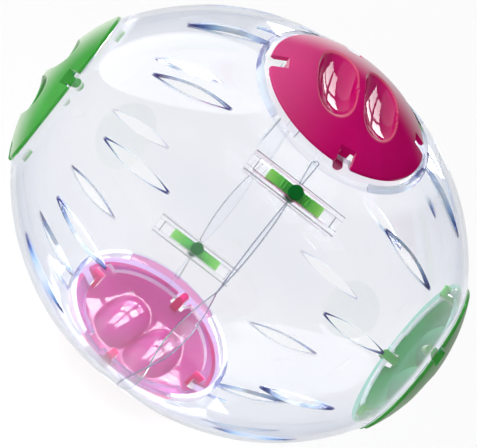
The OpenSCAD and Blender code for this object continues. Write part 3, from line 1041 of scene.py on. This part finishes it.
def gloss_plastic(name, low, high, glow, share, roughness=0.35, coat=0.0, coat_ior=1.5, painted_sheen=0.0,
                  lip=None, pale=None, bulge_highlight=None):
    """Tinted plastic between two colours, which glows a little where light comes through it.

    Its last four arguments are, in order: the share of a painted pale sheen where it is seen edge-on,
    the colour of the painted highlight along a recess's lip, the colour of the painted light on the soft
    lamp's side towards which it lightens along the long axis, and the colour of the painted highlight on
    the back of a recess.
    """
    n = Nodes(name)
    fine_marks = n.noise(1400.0, 2.0)
    colour = n.ramp(n.noise(45.0, 3.0), [(0.3, low), (0.7, high)])
    # Painted light: the cap lightens along the long axis towards the soft lamp's side
    if pale:
        colour = n.blend(n.times(n.span(n.place()[0], *PAINTED_LIGHT_X), PAINTED_LIGHT_SHARE), colour, pale)
    # Painted highlight on the backs of the recesses, seen from inside the cap
    if bulge_highlight:
        x, y, z = n.place()
        deep = n.times(n.span(n.math("ABSOLUTE", x), *BULGE_X), n.span(n.length(y, z), *BULGE_OFF))
        colour = n.blend(n.times(deep, BULGE_HIGHLIGHT_SHARE), colour, bulge_highlight)
    # Painted highlight along each recess's lip
    if lip:
        rim = n.add("ShaderNodeAttribute", {"attribute_name": "lip"}).outputs["Fac"]
        colour = n.blend(n.times(rim, LIP_HIGHLIGHT_SHARE), colour, lip)
    shader = n.add("ShaderNodeBsdfPrincipled", Base_Color=colour, IOR=TINTED_IOR, Specular_IOR_Level=0.0,
                   Coat_Weight=coat, Coat_Roughness=0.01, Coat_IOR=coat_ior)
    n.plug(n.spread(fine_marks, roughness, roughness + 0.05), shader, "Roughness")
    n.plug(n.bump(fine_marks, 0.02, 0.0003), shader, "Normal")
    through = n.add("ShaderNodeBsdfTranslucent", Color=glow)
    body = n.mix(share, shader.outputs[0], through.outputs[0])
    # Painted sheen: a pale diffuse colour where the face is seen edge-on
    if painted_sheen:
        soft = n.add("ShaderNodeBsdfDiffuse", Color=SHEEN_PAINT)
        body = n.mix(n.times(n.span(n.facing(), *SHEEN_PAINT_FACING), painted_sheen), body, soft.outputs[0])
    return n.finish(body)


shell_materials = [
    vented_shell("shell_outer"),
    clear_shell("shell_inner"),
    slot_edge("shell_edge"),
    seat_face("shell_seat", False),
    rail_lines("shell_latch"),
    lip_line("shell_outer_lip", True),
    lip_line("shell_inner_lip", False),
    thin_joint("shell_lap"),
    ring_wall_plastic("shell_skirt"),
    seat_face("shell_under", True),
]
# Pink plastic: the dome has painted light on the soft lamp's side, a painted edge-on sheen and a painted
# highlight along each recess's lip; the recesses are a darker copy as painted shade, and the inside a
# lighter, more violet copy as painted light coming through the cap
pink = [
    gloss_plastic("cap_pink", (0.54, 0.004, 0.12), (0.64, 0.007, 0.17), (0.95, 0.02, 0.45), 0.3,
                  painted_sheen=0.7, lip=(0.85, 0.30, 0.30), pale=(0.85, 0.22, 0.45)),
    gloss_plastic("cap_pink_recess_shaded", (0.50, 0.001, 0.11), (0.60, 0.003, 0.155), (0.9, 0.02, 0.45), 0.25,
                  coat=0.5),
    gloss_plastic("cap_pink_inside_lit", (0.40, 0.035, 0.22), (0.46, 0.06, 0.28), (0.9, 0.22, 0.62), 0.3,
                  coat=0.9, coat_ior=1.8),
]
# Green plastic: the dome has a painted edge-on sheen and a painted highlight along each recess's lip; the
# recesses are a much darker copy as painted shade, and the inside a darker, bluer copy as painted shade,
# with a painted highlight on the recesses' backs
green = [
    gloss_plastic("cap_green", (0.07, 0.34, 0.065), (0.10, 0.42, 0.09), (0.12, 0.75, 0.2), 0.3,
                  painted_sheen=0.5, lip=(0.45, 0.75, 0.42)),
    gloss_plastic("cap_green_recess_shaded", (0.02, 0.17, 0.025), (0.035, 0.24, 0.035), (0.08, 0.5, 0.12), 0.2,
                  coat=0.3),
    gloss_plastic("cap_green_inside_shade_and_highlight", (0.01, 0.20, 0.045), (0.02, 0.29, 0.08), (0.05, 0.5, 0.2), 0.3,
                  coat=0.1, bulge_highlight=(0.17, 0.47, 0.33)),
]
latch_green = bar_plastic("latch_green")
peg_green = gloss_plastic("peg_green", (0.005, 0.13, 0.02), (0.01, 0.18, 0.03), (0.05, 0.4, 0.1), 0.1,
                          roughness=0.08)


# The object

def finished(obj, body, node):
    """Says which body a piece rides on, which node it replaces."""
    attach(obj, body)
    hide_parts(node)


for side, node in ((-1, "half_shell_left"), (1, "half_shell_right")):
    shell = half_shell(side)
    shell.name = shell.data.name = node + "_clear"
    dress(shell, shell_materials)
    shell_slots(shell.data)
    finished(shell, "ball", node)

for node, body, materials, slot_name, place in (
        ("side_cap_top", "top_cap", pink, "cap_pink", side_seat(0) @ turned("Z", SIDE_LOCK)),
        ("side_cap_bottom", "bottom_cap", pink, "cap_pink", side_seat(1) @ turned("Z", SIDE_LOCK)),
        ("end_cap_left", "left_cap", green, "cap_green", end_seat(0) @ turned("Z", END_LOCK)),
        ("end_cap_right", "right_cap", green, "cap_green", end_seat(1) @ turned("Z", END_LOCK + 90))):
    finished(cap_shape(node + "_moulded", place, materials), body, node)

for end in ("front", "back"):
    for kind, material in (("bar", latch_green), ("peg", peg_green)):
        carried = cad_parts[f"latch_{kind}_{end}"]
        dress(carried, [material])
        bevel = carried.modifiers.new("round", "BEVEL")
        bevel.width = BAR_ROUND * MM
        bevel.segments = 3


# Floor, world, lamps and camera; sizes from here on are in metres

FLOOR_HALF = 4.0
FLOOR_DROP = 0.0005
FLOOR_PAPER = (0.86, 0.86, 0.87)
FLOOR_WHITE_SHARE = 0.9

# The sky's height where it starts to turn blue and where it is bluest, from zero at the horizon to one
SKY_BLUE_FROM = 0.1
SKY_BLUE_TO = 0.45
SKY_HIGH = (0.50, 0.53, 0.62)
SKY_DIFFUSE = (0.42, 0.42, 0.42)

# The camera's axes, distance and lens, and how far the object stands off the middle of the picture
CAMERA_RIGHT = Vector((0.786, 0.2825, 0.5499))
CAMERA_UP = Vector((-0.6081, 0.5137, 0.6053))
CAMERA_BACK = Vector((-0.1115, -0.8101, 0.5756))
CAMERA_FAR = 0.9
CAMERA_CLIP = (0.01, 20)
SENSOR_MM = 36
PHOTO_W = 477
FOCAL_PX = 2400
OBJECT_RIGHT = 0.0007
OBJECT_DOWN = 0.00008

# Lamps and window; the key lamp stands above the camera and to its left
KEY_AT = CAMERA_BACK * 0.7 + CAMERA_UP * 0.6 - CAMERA_RIGHT * 0.55
KEY_SIZE = (0.5, 0.4)
KEY_POWER = 5.0
SOFT_AT = Vector((-0.858, 0.438, 0.715))
SOFT_SIZE = (1.2, 1.7)
SOFT_POWER = 7.5
WINDOW_AZIMUTH = 82
WINDOW_ELEVATION = 35
WINDOW_FAR = 1.2
WINDOW_SIZE = (0.95, 1.5)
WINDOW_BAR = 0.12
WINDOW_STRENGTH = 24.0


def facing_object(at):
    """Place of something that stands at a point and faces the object."""
    return Matrix.Translation(at) @ (-Vector(at)).to_track_quat("-Z", "Y").to_matrix().to_4x4()


def direction(azimuth, elevation):
    """Unit vector from the object towards a place given in degrees."""
    a, e = math.radians(azimuth), math.radians(elevation)
    return Vector((math.cos(a) * math.cos(e), math.sin(a) * math.cos(e), math.sin(e)))


def studio_floor():
    """A pale floor that stays white for the camera, gloss and glass, and keeps the object's shadow."""
    mesh = bpy.data.meshes.new("floor")
    half, z = FLOOR_HALF, cad_box[0].z - FLOOR_DROP
    corners = [(-half, -half, z), (half, -half, z), (half, half, z), (-half, half, z)]
    mesh.from_pydata(corners, [], [(0, 1, 2, 3)])
    n = Nodes("floor_pale")
    seen = n.add("ShaderNodeLightPath").outputs
    any_ray = n.math("MAXIMUM", seen["Is Camera Ray"], seen["Is Glossy Ray"])
    any_ray = n.math("MAXIMUM", any_ray, seen["Is Transmission Ray"])
    paper = n.add("ShaderNodeBsdfDiffuse", Color=FLOOR_PAPER)
    white = n.add("ShaderNodeEmission", Color=WHITE, Strength=1.0)
    share = n.times(any_ray, FLOOR_WHITE_SHARE)
    mesh.materials.append(n.finish(n.mix(share, paper.outputs[0], white.outputs[0])))
    linked("floor", mesh)


def studio_world():
    """White for the camera, grey for diffuse light, and bluish high overhead in gloss and glass."""
    n = Nodes("studio", world=True)
    seen = n.add("ShaderNodeLightPath").outputs
    parts = n.add("ShaderNodeSeparateXYZ")
    n.tree.links.new(n.add("ShaderNodeTexCoord").outputs["Generated"], parts.inputs[0])
    sky = n.ramp(parts.outputs[2], [(SKY_BLUE_FROM, WHITE), (SKY_BLUE_TO, SKY_HIGH)])
    bent = n.math("MAXIMUM", seen["Is Glossy Ray"], seen["Is Transmission Ray"])
    colour = n.blend(seen["Is Camera Ray"], n.blend(bent, SKY_DIFFUSE, sky), WHITE)
    bpy.context.scene.world = n.finish(n.add("ShaderNodeBackground", Color=colour).outputs[0])


def lamp(name, shape, at, size, power):
    """An area lamp that faces the object."""
    light = bpy.data.lights.new(name, "AREA")
    light.shape = shape
    light.size, light.size_y = size
    light.energy = power
    obj = linked(name, light)
    obj.matrix_world = facing_object(at)
    return obj


def window_panes(at, size, bar, strength):
    """A bright window of four panes, seen only in gloss and through glass."""
    w, h, b = size[0] / 2, size[1] / 2, bar / 2
    verts, faces = [], []
    for x0, x1 in ((-w, -b), (b, w)):
        for y0, y1 in ((-h, -b), (b, h)):
            faces.append(tuple(range(len(verts), len(verts) + 4)))
            verts += [(x0, y0, 0), (x1, y0, 0), (x1, y1, 0), (x0, y1, 0)]
    mesh = bpy.data.meshes.new("window")
    mesh.from_pydata(verts, [], faces)
    n = Nodes("window_light")
    mesh.materials.append(n.finish(n.add("ShaderNodeEmission", Color=WHITE, Strength=strength).outputs[0]))
    obj = linked("window", mesh)
    obj.matrix_world = facing_object(at)
    obj.visible_camera = obj.visible_diffuse = obj.visible_shadow = False


def photo_camera():
    """The camera at the photo's viewing angle."""
    data = bpy.data.cameras.new("camera")
    data.sensor_width = SENSOR_MM
    data.lens = SENSOR_MM * FOCAL_PX / PHOTO_W
    data.clip_start, data.clip_end = CAMERA_CLIP
    camera = linked("camera", data)
    spot = CAMERA_BACK * CAMERA_FAR - CAMERA_RIGHT * OBJECT_RIGHT + CAMERA_UP * OBJECT_DOWN
    axes = Matrix((CAMERA_RIGHT, CAMERA_UP, CAMERA_BACK)).transposed().to_4x4()
    camera.matrix_world = Matrix.Translation(spot) @ axes
    bpy.context.scene.camera = camera


studio_floor()
studio_world()
key = lamp("key", "RECTANGLE", KEY_AT, KEY_SIZE, KEY_POWER)
key.visible_glossy = key.visible_transmission = False
lamp("soft", "ELLIPSE", SOFT_AT, SOFT_SIZE, SOFT_POWER)
window_at = direction(WINDOW_AZIMUTH, WINDOW_ELEVATION) * WINDOW_FAR
window_panes(window_at, WINDOW_SIZE, WINDOW_BAR, WINDOW_STRENGTH)
photo_camera()
bpy.context.scene.view_settings.view_transform = "Standard"
